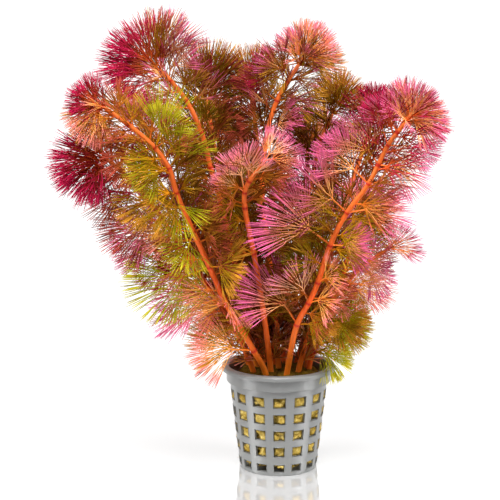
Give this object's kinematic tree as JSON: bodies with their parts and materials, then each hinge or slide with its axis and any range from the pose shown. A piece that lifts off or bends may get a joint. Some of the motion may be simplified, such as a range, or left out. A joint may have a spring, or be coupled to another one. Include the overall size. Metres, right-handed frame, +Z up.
{
  "type": "potted red cabomba",
  "caption": "Bunch of red cabomba, an aquarium plant with fan leaves in red, pink and olive, set in rock wool in a tapered net pot that stands on its base.",
  "frame": {"origin": "centre of the flat base of the net pot, where the pot stands", "axes": "+Z up along the axis of the pot, +X to the right and -Y towards the viewer of the pictured side"},
  "size_m": [0.1777, 0.1593, 0.2208],
  "materials": {
    "pot": "satin",
    "rock_wool": "fibrous",
    "stem": "smooth, slightly waxy",
    "leaf_crimson": "smooth, slightly waxy",
    "leaf_pink": "smooth, slightly waxy",
    "leaf_pale": "smooth, slightly waxy",
    "leaf_orange": "smooth, slightly waxy",
    "leaf_brown": "smooth, slightly waxy",
    "leaf_olive": "smooth, slightly waxy",
    "leaf_green": "smooth, slightly waxy"
  },
  "bodies": {
    "root": {"leaf_crown_a": "leaf_crimson", "leaf_crown_b": "leaf_crimson", "leaf_crown_c": "leaf_crimson", "leaf_crown_d": "leaf_pink", "leaf_crown_e": "leaf_pink", "leaf_crown_g": "leaf_olive", "leaf_crown_h": "leaf_pink", "leaf_crown_i": "leaf_brown", "leaf_crown_j": "leaf_pink", "leaf_crown_k": "leaf_brown", "leaf_crown_l": "leaf_olive", "leaf_crown_n": "leaf_olive", "leaf_crown_q": "leaf_pink", "leaf_crown_r": "leaf_crimson", "leaf_crown_t": "leaf_pink", "leaf_crown_u": "leaf_orange", "leaf_whorl_a2": "leaf_orange", "leaf_whorl_a3": "leaf_pink", "leaf_whorl_a4": "leaf_green", "leaf_whorl_a6": "leaf_olive", "leaf_whorl_a8": "leaf_brown", "leaf_whorl_b4": "leaf_brown", "leaf_whorl_b6": "leaf_brown", "leaf_whorl_c4": "leaf_brown", "leaf_whorl_c8": "leaf_crimson", "leaf_whorl_d5": "leaf_pale", "leaf_whorl_e2": "leaf_pink", "leaf_whorl_e5": "leaf_pink", "leaf_whorl_e7": "leaf_pink", "leaf_whorl_e8": "leaf_crimson", "leaf_whorl_h4": "leaf_olive", "leaf_whorl_h5": "leaf_pink", "leaf_whorl_i3": "leaf_brown", "leaf_whorl_j3": "leaf_olive", "leaf_whorl_j6": "leaf_pink", "leaf_whorl_k3": "leaf_pink", "leaf_whorl_l2": "leaf_green", "leaf_whorl_n4": "leaf_olive", "leaf_whorl_q3": "leaf_olive", "leaf_whorl_r3": "leaf_brown", "leaf_whorl_t3": "leaf_olive", "leaf_whorl_u3": "leaf_olive", "pot": "pot", "rock_wool": "rock_wool", "stem_a": "stem", "stem_b": "stem", "stem_c": "stem", "stem_d": "stem", "stem_e": "stem", "stem_g": "stem", "stem_h": "stem", "stem_i": "stem", "stem_j": "stem", "stem_k": "stem", "stem_l": "stem", "stem_n": "stem", "stem_q": "stem", "stem_r": "stem", "stem_t": "stem", "stem_u": "stem"}
  },
  "joints": []
}
